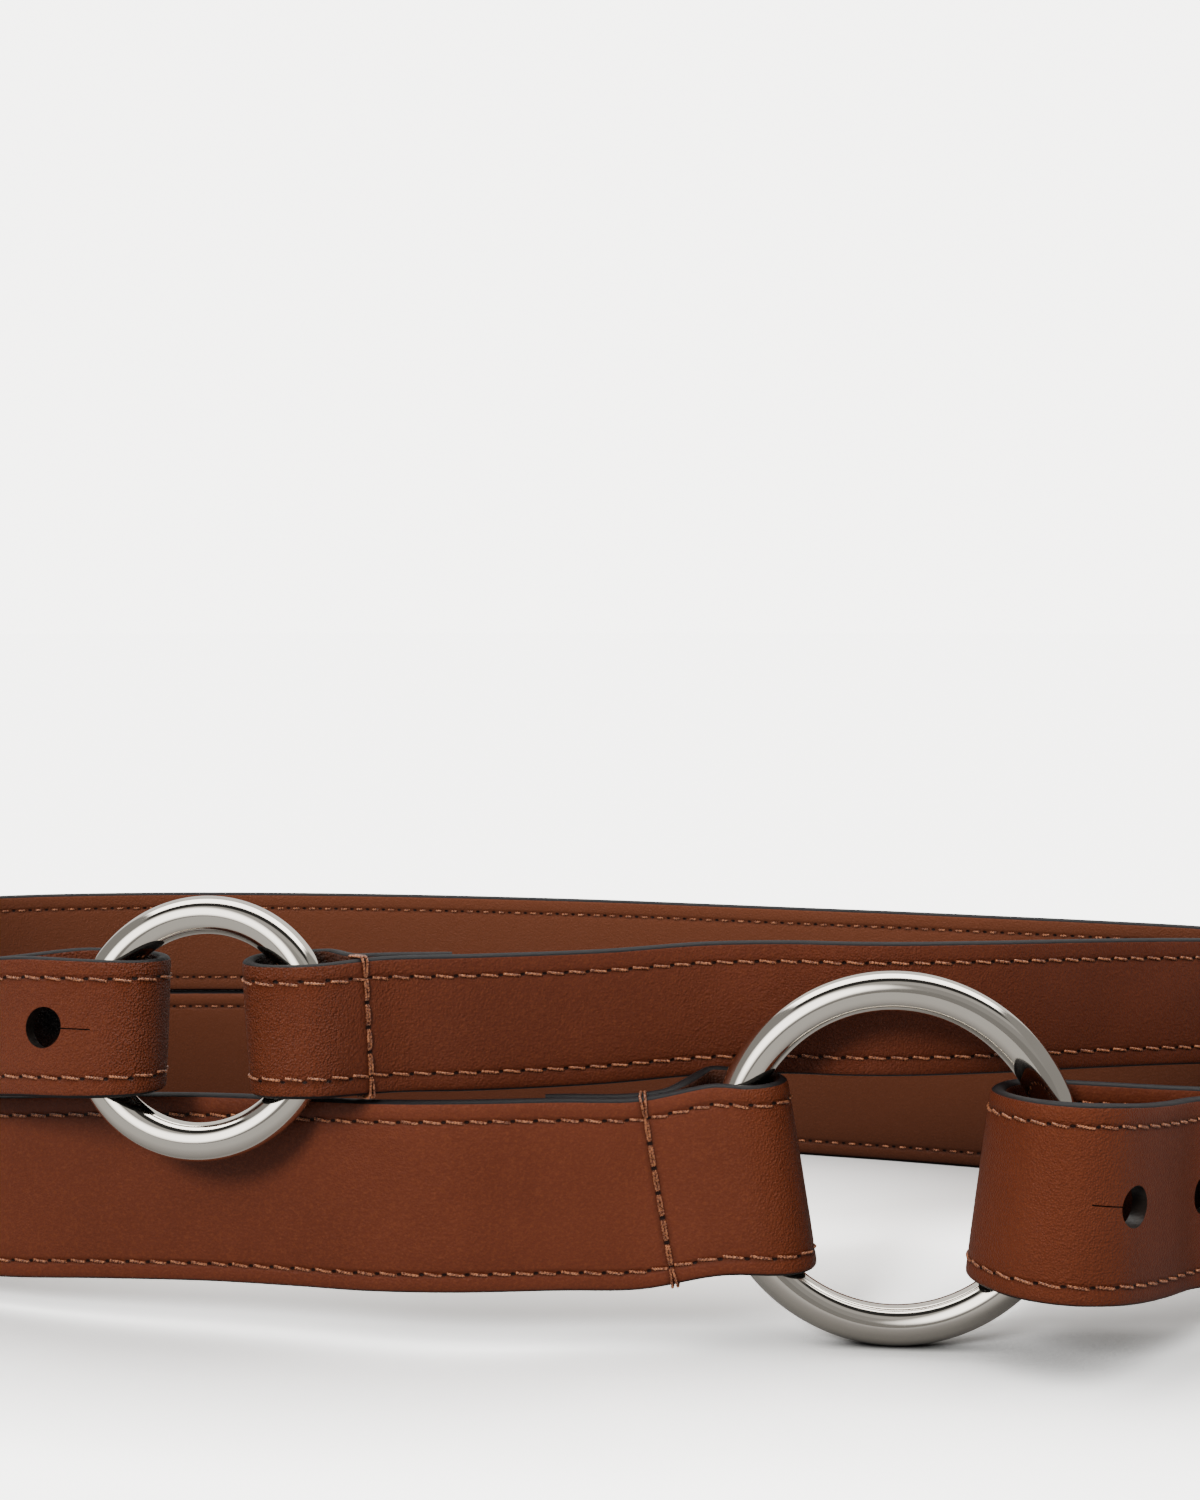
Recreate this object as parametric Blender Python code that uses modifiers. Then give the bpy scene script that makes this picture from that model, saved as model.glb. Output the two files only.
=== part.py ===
"""O-ring belt of two leather straps stacked edge to edge, each closed in front on a round ring.

Metres, +Z up, seen from -Y, standing on the floor on the large ring and the wide strap's lower edge.
Every strap is one ribbon: a sewn loop on the ring, once round the belt, and an adjustable loop whose
tail lies on the outer face with a row of holes. Control rows are plan positions of the ribbon's middle.
"""
import math

import bpy
import bmesh
import numpy as np
from mathutils import Matrix, Vector

# Driving sizes, metres
belt_span = 0.366
belt_depth = 0.200
wide_width = 0.035
narrow_width = 0.025
wide_thick = 0.0028
narrow_thick = 0.0024
edge_round = 0.0005
large_ring_outer = 0.068
large_ring_tube = 0.0074
small_ring_outer = 0.048
small_ring_tube = 0.0070
front_lift = 0.0105
hole_size = 0.0074
hole_pitch = 0.028
wide_hole_first = 0.0358
narrow_hole_first = 0.0253
tail_past_hole = 0.028
tip_length = 0.012
slit_length = 0.0046
slit_width = 0.0006
stud_head = 0.0095
stud_neck = 0.0040
stud_base = 0.0100
stud_flange = 0.0012
lap_wide = 0.022
lap_narrow = 0.018
seam_wide = 0.0095
seam_narrow = 0.0085

# Clearances and small fixed values
touch_gap = 0.0003
ring_gap = 0.0004
loop_slack = 0.0014
layer_gap = 0.0006
merge_distance = 0.00005
curve_step = 0.0006
row_step = 0.0057
guide_step = 0.0050
ease_across = 0.008
ease_deep = 0.018
hole_count = 5
stud_hole = 3
large_lean, large_turn = math.radians(5), math.radians(5)
small_lean, small_turn = math.radians(15), math.radians(4)

# Shares: how high the sewn loops stand in front_lift, where their folds sit in the rings' windows,
# where the small ring's middle and the tails' joins lie
wide_loop_lift = 1.27
narrow_loop_lift = 1.04
wide_fold = (0.62, 0.80)
narrow_fold = (0.64, 0.58)
tail_fold = (0.46, 0.46)
large_ring_place = (0.146, 0.0275)
small_ring_place = (-0.1967, 0.030)
small_ring_rise = 0.46
wide_join = 0.333
narrow_join = 0.322

# Plan of the belt: across and deep are shares of belt_span and belt_depth, lift is a share of front_lift.
# BACK runs from the right end of the back to its left end and on round the left turn.
BACK = [
    # across,  deep,  lift
    (0.374, 0.583, 0.0),
    (0.320, 0.626, 0.0),
    (0.258, 0.667, 0.0),
    (0.197, 0.706, 0.0),
    (0.133, 0.742, 0.0),
    (0.067, 0.780, 0.0),
    (0.000, 0.816, 0.0),
    (-0.104, 0.857, 0.0),
    (-0.186, 0.878, 0.0),
    (-0.269, 0.887, 0.0),
    (-0.342, 0.880, 0.0),
    (-0.413, 0.853, 0.0),
    (-0.473, 0.790, 0.0),
    (-0.516, 0.680, 0.0),
    (-0.532, 0.535, 0.0),
    (-0.508, 0.395, 0.08),
    (-0.451, 0.275, 0.22),
]
WIDE_FRONT = [
    (-0.383, 0.190, 0.40),
    (-0.312, 0.125, 0.58),
    (-0.253, 0.086, 0.77),
    (-0.197, 0.060, 0.87),
    (-0.150, 0.038, 0.90),
    (-0.115, 0.020, 0.92),
    (-0.074, 0.008, 0.96),
    (-0.020, 0.009, 0.99),
    (0.020, 0.011, 1.00),
]
WIDE_RIGHT = [
    (0.268, 0.061, 1.03),
    (0.304, 0.064, 0.96),
    (0.364, 0.098, 0.78),
    (0.421, 0.165, 0.54),
    (0.459, 0.270, 0.30),
    (0.467, 0.395, 0.10),
    (0.437, 0.505, 0.0),
]
NARROW_FRONT = [
    (-0.104, 0.025, 1.00),
    (-0.060, 0.044, 0.97),
    (0.000, 0.074, 0.96),
    (0.055, 0.101, 1.02),
    (0.096, 0.102, 1.04),
    (0.126, 0.090, 1.05),
    (0.155, 0.091, 1.04),
    (0.205, 0.117, 0.99),
    (0.265, 0.176, 0.86),
    (0.322, 0.230, 0.72),
    (0.377, 0.290, 0.52),
    (0.418, 0.370, 0.31),
    (0.430, 0.455, 0.14),
    (0.410, 0.533, 0.03),
]
NARROW_LEFT = [
    (-0.383, 0.172, 0.46),
    (-0.347, 0.118, 0.58),
    (-0.312, 0.082, 0.78),
    (-0.285, 0.063, 0.93),
]

# Rows of the two adjustable loops from the back layer round to the tail, as shares of the ring's
# outer radius from the ring's middle; lift as above, lean is how far the row's top stands to the right.
WIDE_LOOP = [
    # across,  deep,  lift,  lean
    (0.960, 0.190, 1.10, 0.050),
    (0.715, 0.165, 1.17, 0.100),
    (0.545, 0.030, 1.23, 0.130),
    (0.462, -0.190, 1.28, 0.130),
    (0.500, -0.430, 1.32, 0.115),
    (0.625, -0.650, 1.36, 0.085),
    (0.810, -0.757, 1.37, 0.040),
    (1.015, -0.722, 1.33, 0.000),
    (1.190, -0.565, 1.22, 0.000),
    (1.370, -0.345, 1.10, 0.000),
    (1.595, -0.055, 0.97, 0.000),
]
NARROW_TAIL = [
    (-1.360, -0.050, 0.99, 0.000),
    (-1.620, 0.110, 0.90, 0.000),
]

leather = (0.235, 0.078, 0.036, 1.0)
metal = (0.62, 0.61, 0.58, 1.0)


def empty_scene():
    for item in list(bpy.data.objects):
        bpy.data.objects.remove(item, do_unlink=True)


def collection(name):
    found = bpy.data.collections.new(name)
    bpy.context.scene.collection.children.link(found)
    return found


def material(name, colour, metallic, rough):
    found = bpy.data.materials.new(name)
    found.use_nodes = True
    shader = found.node_tree.nodes["Principled BSDF"]
    shader.inputs["Base Color"].default_value = colour
    shader.inputs["Metallic"].default_value = metallic
    shader.inputs["Roughness"].default_value = rough
    return found


def plan(rows, foot):
    """Rows of x, y, foot height, lean in x and lean in y."""
    return [(a * belt_span, d * belt_depth, foot + k * front_lift, 0.0, 0.0) for a, d, k in rows]


def about_ring(rows, ring, radius, foot, lean_y):
    """Rows given in shares of a ring's outer radius, moved to the ring."""
    out = []
    for across, deep, lift, lean in rows:
        x = ring[0] + across * radius
        y = ring[1] + deep * radius
        out.append((x, y, foot + lift * front_lift, lean * radius, lean_y))
    return out


def reach(ring, radius, tube, lean, level, share, thick):
    """How far from the ring's middle a fold's middle may stand at one height."""
    inner = radius - tube
    rise = (level - ring[2]) / math.cos(lean)
    free = math.sqrt(max(inner * inner - rise * rise, 0.0)) - ring_gap - thick / 2
    return min(share * inner, free)


def fold(ring, radius, tube, lean, foot, width, thick, side, shares, lean_y):
    """Rows of a tight fold round a ring's tube; side is -1 left of the ring's middle and +1 right."""
    low = side * reach(ring, radius, tube, lean, foot, shares[0], thick)
    high = side * reach(ring, radius, tube, lean, foot + width, shares[1], thick)
    half = tube / 2 + ring_gap + thick / 2 + loop_slack
    out = []
    past_tube = ring[0] + side * (radius - tube / 4)
    mid_y = ring[1] + side_shift(ring, side, radius, tube)
    out.append((past_tube, mid_y + half, foot, (high - low) * 0.3, lean_y))
    for degrees in (90, 60, 30, 0, -30, -60, -90):
        turn = math.radians(degrees)
        x = ring[0] + (low + high) / 2 + side * half * (1 - math.cos(turn))
        out.append((x, mid_y + half * math.sin(turn), foot, high - low, lean_y))
    out.append((past_tube, mid_y - half, foot, (high - low) * 0.3, lean_y))
    return out


def side_shift(ring, side, radius, tube):
    """How far a turned ring's side stands behind its middle."""
    return -side * math.sin(ring[3]) * (radius - tube / 2)


def smooth(rows, step=curve_step):
    """Close samples of a centripetal curve through control rows."""
    p = np.array(rows, float)
    p = np.vstack([2 * p[0] - p[1], p, 2 * p[-1] - p[-2]])
    out = []
    for i in range(1, len(p) - 2):
        q = p[i - 1:i + 3]
        t = [0.0]
        for k in range(3):
            t.append(t[-1] + max(np.linalg.norm(q[k + 1][:3] - q[k][:3]), 1e-6) ** 0.5)
        count = max(2, int(np.linalg.norm(q[2][:2] - q[1][:2]) / step))
        for u in np.linspace(t[1], t[2], count, endpoint=False):
            a1 = q[0] + (q[1] - q[0]) * (u - t[0]) / (t[1] - t[0])
            a2 = q[1] + (q[2] - q[1]) * (u - t[1]) / (t[2] - t[1])
            a3 = q[2] + (q[3] - q[2]) * (u - t[2]) / (t[3] - t[2])
            b1 = a1 + (a2 - a1) * (u - t[0]) / (t[2] - t[0])
            b2 = a2 + (a3 - a2) * (u - t[1]) / (t[3] - t[1])
            out.append(b1 + (b2 - b1) * (u - t[1]) / (t[2] - t[1]))
    out.append(p[-2])
    return np.array(out)


def eased(rows):
    """The same curve with its leans changing gradually along it."""
    out = rows.copy()
    spacing = lengths(rows)[-1] / len(rows)
    for k, over in ((3, ease_across), (4, ease_deep)):
        count = int(over / spacing)
        weight = np.ones(count) / count
        padded = np.pad(out[:, k], count, mode="edge")
        padded = np.convolve(padded, weight, mode="same")
        out[:, k] = padded[count:-count]
    return out


def normals(rows):
    """Plan normals on the right hand of a curve's direction."""
    along = np.gradient(rows[:, :2], axis=0)
    along /= np.linalg.norm(along, axis=1)[:, None]
    return np.stack([along[:, 1], -along[:, 0]], axis=1)


def beside(rows, distance):
    """The same curve moved sideways, distance counted to the right of its direction."""
    out = rows.copy()
    out[:, :2] += normals(rows) * distance
    return out


def lengths(rows):
    return np.r_[0.0, np.cumsum(np.linalg.norm(np.diff(rows[:, :2], axis=0), axis=1))]


def at(rows, distance):
    """One row of a curve at a distance from its start."""
    run = lengths(rows)
    return np.array([np.interp(distance, run, rows[:, k]) for k in range(rows.shape[1])])


def thin_out(rows, most_turn=math.radians(10), longest=row_step):
    """Keep the samples that a faceted ribbon needs."""
    along = np.gradient(rows[:, :2], axis=0)
    angle = np.unwrap(np.arctan2(along[:, 1], along[:, 0]))
    run = lengths(rows)
    kept = [0]
    for i in range(1, len(rows) - 1):
        if abs(angle[i] - angle[kept[-1]]) > most_turn or run[i] - run[kept[-1]] > longest:
            kept.append(i)
    if run[-1] - run[kept[-1]] < curve_step:
        kept.pop()
    kept.append(len(rows) - 1)
    return rows[kept]


def edges_of(row, width, share=1.0):
    """Lower and upper edge points of one row; share narrows it about its middle."""
    x, y, foot, lean_x, lean_y = row
    tall = math.sqrt(width * width - lean_x * lean_x - lean_y * lean_y)
    low = Vector((x - lean_x / 2, y - lean_y / 2, foot))
    high = Vector((x + lean_x / 2, y + lean_y / 2, foot + tall))
    middle = (low + high) / 2
    return middle + (low - middle) * share, middle + (high - middle) * share


def tip_share(left):
    """Width share of a rounded tip at a distance before its end."""
    if left >= tip_length:
        return 1.0
    u = 1.0 - left / tip_length
    return max(0.34, math.sqrt(max(1.0 - u * u, 0.0)))


def ribbon(name, rows, width, thick, home, paint):
    """A strap: an open ribbon given its thickness, with worked edges."""
    run = lengths(rows)
    tip_steps = [run[-1] - tip_length * k for k in (1.0, 0.75, 0.5, 0.3, 0.15, 0.06)]
    body = [r for r, s in zip(rows, run) if s < tip_steps[0] - row_step / 3]
    places = [s for s in run if s < tip_steps[0] - row_step / 3]
    for s in tip_steps + [run[-1]]:
        body.append(at(rows, s))
        places.append(s)
    mesh = bmesh.new()
    pairs = []
    for row, s in zip(body, places):
        low, high = edges_of(row, width, tip_share(run[-1] - s))
        pairs.append((mesh.verts.new(low), mesh.verts.new(high)))
    for (a, b), (c, d) in zip(pairs, pairs[1:]):
        mesh.faces.new((a, c, d, b))
    data = bpy.data.meshes.new(name)
    mesh.to_mesh(data)
    mesh.free()
    strap = bpy.data.objects.new(name, data)
    home.objects.link(strap)
    strap.data.materials.append(paint)
    solid = strap.modifiers.new("thickness", "SOLIDIFY")
    solid.thickness = thick
    solid.offset = 0.0
    solid.use_even_offset = True
    bevel = strap.modifiers.new("worked_edge", "BEVEL")
    bevel.width = edge_round
    bevel.segments = 1
    bevel.limit_method = "ANGLE"
    bevel.angle_limit = math.radians(50)
    for face in strap.data.polygons:
        face.use_smooth = True
    return strap


def frame_at(curve, distance, width, out_side):
    """Middle of the strap at a distance along it, with its along, up and outward directions."""
    here = at(curve, distance)
    after = at(curve, distance + curve_step)
    low, high = edges_of(here, width)
    low2, high2 = edges_of(after, width)
    middle = (low + high) / 2
    along = ((low2 + high2) / 2 - middle).normalized()
    up = (high - low).normalized()
    out = along.cross(up).normalized() * out_side
    return middle, along, up, out


def placed(data, name, home, middle, axis_x, axis_z):
    """An object whose own X and Z point along the given directions."""
    item = bpy.data.objects.new(name, data)
    home.objects.link(item)
    axis_y = axis_z.cross(axis_x).normalized()
    turn = Matrix((axis_x, axis_y, axis_z)).transposed().to_4x4()
    data.transform(Matrix.Translation(middle) @ turn)
    data.update()
    return item


def cutter(name, home, strap, data, middle, axis_x, axis_z):
    item = placed(data, name, home, middle, axis_x, axis_z)
    item.hide_render = True
    item.display_type = "WIRE"
    cut = strap.modifiers.new(name, "BOOLEAN")
    cut.operation = "DIFFERENCE"
    cut.solver = "EXACT"
    cut.object = item
    return item


def rod(radius, depth, sides):
    mesh = bmesh.new()
    bmesh.ops.create_cone(mesh, cap_ends=True, segments=sides, radius1=radius, radius2=radius, depth=depth)
    data = bpy.data.meshes.new("rod")
    mesh.to_mesh(data)
    mesh.free()
    return data


def keyhole(radius, depth, sides):
    """A round punch and its slit as one outline, pushed through the leather."""
    half = slit_width / 2
    mouth = math.asin(half / radius)
    outline = [(radius + slit_length, half)]
    for k in range(sides):
        turn = mouth + (math.tau - 2 * mouth) * k / (sides - 1)
        outline.append((math.cos(turn) * radius, math.sin(turn) * radius))
    outline.append((radius + slit_length, -half))
    mesh = bmesh.new()
    floor = mesh.faces.new([mesh.verts.new((x, y, -depth / 2)) for x, y in outline])
    raised = bmesh.ops.extrude_face_region(mesh, geom=[floor])
    top = [item for item in raised["geom"] if isinstance(item, bmesh.types.BMVert)]
    bmesh.ops.translate(mesh, vec=(0.0, 0.0, depth), verts=top)
    bmesh.ops.recalc_face_normals(mesh, faces=mesh.faces)
    data = bpy.data.meshes.new("keyhole")
    mesh.to_mesh(data)
    mesh.free()
    return data


def punch(strap, curve, start, first, width, thick, cuts, out_side):
    """A row of round holes with a slit beside each toward the ring; returns the stud's place."""
    stud = None
    for k in range(hole_count):
        distance = start + first + k * hole_pitch
        middle, along, up, out = frame_at(curve, distance, width, out_side)
        toward_ring = -along
        label = strap.name + "_hole_" + str(k + 1)
        deep = thick * 3 if k == 0 else thick + 1.6 * layer_gap
        drill = keyhole(hole_size / 2, deep, 20)
        cutter(label, cuts, strap, drill, middle, toward_ring, out)
        if k + 1 == stud_hole:
            stud = (middle, along, up, out)
    return stud


def stud_body(name, place, thick, home, paint):
    """A plain stud: base on the inside, post through the strap, head on the tail."""
    middle, along, up, out = place
    pitch = thick + layer_gap
    inside = -(pitch + thick / 2 + touch_gap)
    outside = thick / 2 + touch_gap
    head = stud_head / 2
    neck = stud_neck / 2
    base = stud_base / 2
    centre = outside + head * 0.80
    start = math.acos(neck / head)
    profile = [(0.0, inside - stud_flange), (base * 0.8, inside - stud_flange)]
    profile += [(base, inside - stud_flange * 0.6), (base, inside), (neck, inside)]
    foot = centre - math.sin(start) * head
    profile.append((neck, foot))
    for k in range(1, 7):
        turn = -start + (math.pi / 2 + start) * k / 7
        profile.append((math.cos(turn) * head, centre + math.sin(turn) * head))
    profile.append((0.0, centre + head))
    mesh = bmesh.new()
    line = [mesh.verts.new((r, 0.0, z)) for r, z in profile]
    for a, b in zip(line, line[1:]):
        mesh.edges.new((a, b))
    parts = mesh.verts[:] + mesh.edges[:]
    bmesh.ops.spin(mesh, geom=parts, axis=(0, 0, 1), cent=(0, 0, 0), steps=16, angle=math.tau)
    bmesh.ops.remove_doubles(mesh, verts=mesh.verts, dist=merge_distance)
    bmesh.ops.recalc_face_normals(mesh, faces=mesh.faces)
    data = bpy.data.meshes.new(name)
    mesh.to_mesh(data)
    mesh.free()
    stud = placed(data, name, home, middle, along, out)
    stud.data.materials.append(paint)
    for face in stud.data.polygons:
        face.use_smooth = True
    return stud


def ring_body(name, ring, radius, tube, lean, home, paint):
    bpy.ops.mesh.primitive_torus_add(
        major_radius=radius - tube / 2,
        minor_radius=tube / 2,
        major_segments=48,
        minor_segments=12,
    )
    item = bpy.context.object
    item.name = name
    stand = Matrix.Rotation(math.pi / 2 - lean, 4, "X")
    turn = Matrix.Rotation(-ring[3], 4, "Z")
    item.data.transform(Matrix.Translation(ring[:3]) @ turn @ stand)
    item.data.update()
    for held in list(item.users_collection):
        held.objects.unlink(item)
    home.objects.link(item)
    item.data.materials.append(paint)
    for face in item.data.polygons:
        face.use_smooth = True
    return item


def sewn_loop(ring, radius, tube, lean, base, lift, width, thick, side, shares, front, seam, lap):
    """Rows from a sewn loop's inner end, round the ring, to the start of the front layer."""
    lean_y = math.sin(lean) * width
    round_tube = fold(ring, radius, tube, lean, base + lift * front_lift, width, thick, side, shares, lean_y)
    back_x, back_y, foot = round_tube[0][:3]
    line = smooth([round_tube[-1]] + front)
    behind = beside(line, -side * (thick + layer_gap))
    rows = [tuple(at(behind, seam + share * lap)) for share in (1.0, 0.8, 0.6, 0.4, 0.2, 0.0)]
    x, y, low, lean_x, lean_start = rows[-1]
    rows[-1] = (x, y + layer_gap / 2, low, lean_x, lean_start)
    for share, rise in ((0.25, 0.20), (0.50, 0.52), (0.75, 0.84)):
        lean_here = lean_start + (lean_y - lean_start) * share
        place = (x + (back_x - x) * share, y + (back_y - y) * rise, low + (foot - low) * share)
        rows.append((*place, lean_x, lean_here))
    return rows + round_tube


def with_tail(rows, loop, guide, out_side, thick, join_x, base, hole_first):
    """The strap's whole curve and where its tail starts; guide is the layer that the tail lies on."""
    lead = smooth(rows + loop)
    first = lengths(smooth(rows + loop[:1]))[-1]
    run = lengths(lead)
    bend = lead[run > first]
    turn_at = first + lengths(bend)[int(np.argmax(-out_side * bend[:, 0]))]
    length = hole_first + (hole_count - 1) * hole_pitch + tail_past_hole
    outer = beside(smooth(guide), out_side * (thick + layer_gap))
    past = out_side * outer[:, 0] > join_x
    outer = outer[int(np.argmax(past)):]
    picks = [tuple(at(outer, d)) for d in np.arange(0.0, lengths(outer)[-1], guide_step)]
    whole = smooth(rows + loop + picks)
    whole[:, 2] = np.maximum(whole[:, 2], base)
    whole = eased(whole)
    run = lengths(whole)
    end = turn_at + length
    kept = whole[run < end]
    return np.vstack([kept, at(whole, end)]), turn_at


def centre_on_origin():
    """Move everything so that the belt's box stands centred on the origin."""
    bpy.context.view_layer.update()
    graph = bpy.context.evaluated_depsgraph_get()
    corners = []
    for item in bpy.context.scene.objects:
        if not item.hide_render:
            shape = item.evaluated_get(graph)
            corners += [shape.matrix_world @ Vector(corner) for corner in shape.bound_box]
    middle_x = (min(c.x for c in corners) + max(c.x for c in corners)) / 2
    middle_y = (min(c.y for c in corners) + max(c.y for c in corners)) / 2
    for item in bpy.context.scene.objects:
        item.data.transform(Matrix.Translation((-middle_x, -middle_y, 0.0)))
        item.data.update()


def build():
    empty_scene()
    home = collection("o_ring_belt")
    cuts = collection("cutters")
    wide_paint = material("wide_strap_leather", leather, 0.0, 0.48)
    narrow_paint = material("narrow_strap_leather", leather, 0.0, 0.50)
    large_paint = material("large_ring_nickel", metal, 1.0, 0.12)
    small_paint = material("small_ring_nickel", metal, 1.0, 0.12)
    stud_paint = material("stud_nickel", metal, 1.0, 0.18)

    large_radius = large_ring_outer / 2
    small_radius = small_ring_outer / 2
    large_height = (large_radius - large_ring_tube / 2) * math.cos(large_lean) + large_ring_tube / 2
    large = (large_ring_place[0] * belt_span, large_ring_place[1] * belt_depth, large_height, large_turn)
    stacked = wide_width + touch_gap
    small_height = stacked + narrow_loop_lift * front_lift + small_ring_rise * narrow_width
    small = (small_ring_place[0] * belt_span, small_ring_place[1] * belt_depth, small_height, small_turn)

    # Wide strap: sewn loop left of the large ring, round the left side and the back, tail at the right
    front = plan(WIDE_FRONT, 0.0)[::-1]
    back = plan(BACK, 0.0)
    right = plan(WIDE_RIGHT, 0.0)
    sewn = sewn_loop(large, large_radius, large_ring_tube, large_lean, 0.0, wide_loop_lift, wide_width,
                     wide_thick, -1, wide_fold, front, seam_wide, lap_wide)
    loop = about_ring(WIDE_LOOP, large, large_radius, 0.0, 0.0)
    rows = sewn + front + back[::-1] + right[::-1]
    wide_curve, wide_turn = with_tail(rows, loop, right + back[:4], 1, wide_thick, wide_join * belt_span, 0.0,
                                       wide_hole_first)

    # Narrow strap: sewn loop right of the small ring, round the right side and the back, tail at the left
    front = plan(NARROW_FRONT, stacked)
    back = plan(BACK, stacked)
    left = plan(NARROW_LEFT, stacked)
    lean_y = math.sin(small_lean) * narrow_width
    sewn = sewn_loop(small, small_radius, small_ring_tube, small_lean, stacked, narrow_loop_lift, narrow_width,
                     narrow_thick, 1, narrow_fold, front, seam_narrow, lap_narrow)
    small_foot = stacked + narrow_loop_lift * front_lift
    tight = fold(small, small_radius, small_ring_tube, small_lean, small_foot, narrow_width, narrow_thick,
                 -1, tail_fold, lean_y)
    loop = tight + about_ring(NARROW_TAIL, small, small_radius, stacked, lean_y * 0.5)
    rows = sewn + front + back + left
    guide = left[::-1] + back[::-1][:8]
    narrow_curve, narrow_turn = with_tail(rows, loop, guide, -1, narrow_thick, narrow_join * belt_span, stacked,
                                          narrow_hole_first)

    wide = ribbon("wide_strap", thin_out(wide_curve), wide_width, wide_thick, home, wide_paint)
    narrow = ribbon("narrow_strap", thin_out(narrow_curve), narrow_width, narrow_thick, home, narrow_paint)
    ring_body("large_ring", large, large_radius, large_ring_tube, large_lean, home, large_paint)
    ring_body("small_ring", small, small_radius, small_ring_tube, small_lean, home, small_paint)

    for strap, curve, start, first, width, thick, side in (
        (wide, wide_curve, wide_turn, wide_hole_first, wide_width, wide_thick, 1),
        (narrow, narrow_curve, narrow_turn, narrow_hole_first, narrow_width, narrow_thick, -1),
    ):
        place = punch(strap, curve, start, first, width, thick, cuts, side)
        middle, along, up, out = place
        under = middle - out * (thick + layer_gap)
        post = rod(stud_neck / 2 + touch_gap, thick * 1.6, 20)
        cutter(strap.name + "_post_hole", cuts, strap, post, under, along, out)
        stud_body(strap.name.replace("strap", "stud"), place, thick, home, stud_paint)
    centre_on_origin()


build()
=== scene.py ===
"""The o-ring belt's looks: two stitched leather straps with painted edges on polished rings."""
import math

import bmesh
import bpy
import numpy as np
from mathutils import Matrix, Vector


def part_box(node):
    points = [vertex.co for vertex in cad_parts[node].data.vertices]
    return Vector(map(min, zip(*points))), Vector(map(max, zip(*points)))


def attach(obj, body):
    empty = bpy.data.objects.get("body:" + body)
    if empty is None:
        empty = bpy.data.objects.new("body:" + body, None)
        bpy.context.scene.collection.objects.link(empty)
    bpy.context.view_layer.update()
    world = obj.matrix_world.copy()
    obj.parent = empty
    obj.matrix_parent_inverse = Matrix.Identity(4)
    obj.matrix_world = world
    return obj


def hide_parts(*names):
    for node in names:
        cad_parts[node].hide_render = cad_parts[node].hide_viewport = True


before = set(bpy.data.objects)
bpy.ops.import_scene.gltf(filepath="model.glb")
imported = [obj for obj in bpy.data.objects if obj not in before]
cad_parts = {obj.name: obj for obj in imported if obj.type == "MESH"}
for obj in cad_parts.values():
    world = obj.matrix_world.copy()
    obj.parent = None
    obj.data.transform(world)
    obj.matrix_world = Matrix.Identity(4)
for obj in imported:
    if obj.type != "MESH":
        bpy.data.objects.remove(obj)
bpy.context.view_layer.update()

# Driving sizes, metres
belt_span = 0.366
belt_depth = 0.200
wide_width = 0.035
narrow_width = 0.025
wide_thick = 0.0028
narrow_thick = 0.0024
large_ring_outer = 0.068
large_ring_tube = 0.0074
small_ring_outer = 0.048
small_ring_tube = 0.0070
front_lift = 0.0105
hole_size = 0.0074
hole_pitch = 0.028
wide_hole_first = 0.0358
narrow_hole_first = 0.0253
tail_past_hole = 0.028
tip_length = 0.012
slit_length = 0.0046
stud_head = 0.0095
stud_neck = 0.0040
stud_base = 0.0100
stud_flange = 0.0012
lap_wide = 0.022
lap_narrow = 0.018
seam_wide = 0.0095
seam_narrow = 0.0085

# Clearances and small fixed values
touch_gap = 0.0003
ring_gap = 0.0004
loop_slack = 0.0014
layer_gap = 0.0006
curve_step = 0.0006
guide_step = 0.0050
ease_across = 0.008
ease_deep = 0.018
hole_count = 5
stud_hole = 3
large_lean, large_turn = math.radians(5), math.radians(5)
small_lean, small_turn = math.radians(15), math.radians(4)

# Shares: how high the sewn loops stand in front_lift, where their folds sit in the rings' windows,
# where the small ring's middle and the tails' joins lie
wide_loop_lift = 1.27
narrow_loop_lift = 1.04
wide_fold = (0.62, 0.80)
narrow_fold = (0.64, 0.58)
tail_fold = (0.46, 0.46)
large_ring_place = (0.146, 0.0275)
small_ring_place = (-0.1967, 0.030)
small_ring_rise = 0.46
wide_join = 0.333
narrow_join = 0.322

# Plan of the belt: across and deep are shares of belt_span and belt_depth, lift is a share of front_lift.
# BACK runs from the right end of the back to its left end and on round the left turn.
BACK = [
    # across,  deep,  lift
    (0.374, 0.583, 0.0),
    (0.320, 0.626, 0.0),
    (0.258, 0.667, 0.0),
    (0.197, 0.706, 0.0),
    (0.133, 0.742, 0.0),
    (0.067, 0.780, 0.0),
    (0.000, 0.816, 0.0),
    (-0.104, 0.857, 0.0),
    (-0.186, 0.878, 0.0),
    (-0.269, 0.887, 0.0),
    (-0.342, 0.880, 0.0),
    (-0.413, 0.853, 0.0),
    (-0.473, 0.790, 0.0),
    (-0.516, 0.680, 0.0),
    (-0.532, 0.535, 0.0),
    (-0.508, 0.395, 0.08),
    (-0.451, 0.275, 0.22),
]
WIDE_FRONT = [
    (-0.383, 0.190, 0.40),
    (-0.312, 0.125, 0.58),
    (-0.253, 0.086, 0.77),
    (-0.197, 0.060, 0.87),
    (-0.150, 0.038, 0.90),
    (-0.115, 0.020, 0.92),
    (-0.074, 0.008, 0.96),
    (-0.020, 0.009, 0.99),
    (0.020, 0.011, 1.00),
]
WIDE_RIGHT = [
    (0.268, 0.061, 1.03),
    (0.304, 0.064, 0.96),
    (0.364, 0.098, 0.78),
    (0.421, 0.165, 0.54),
    (0.459, 0.270, 0.30),
    (0.467, 0.395, 0.10),
    (0.437, 0.505, 0.0),
]
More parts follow.
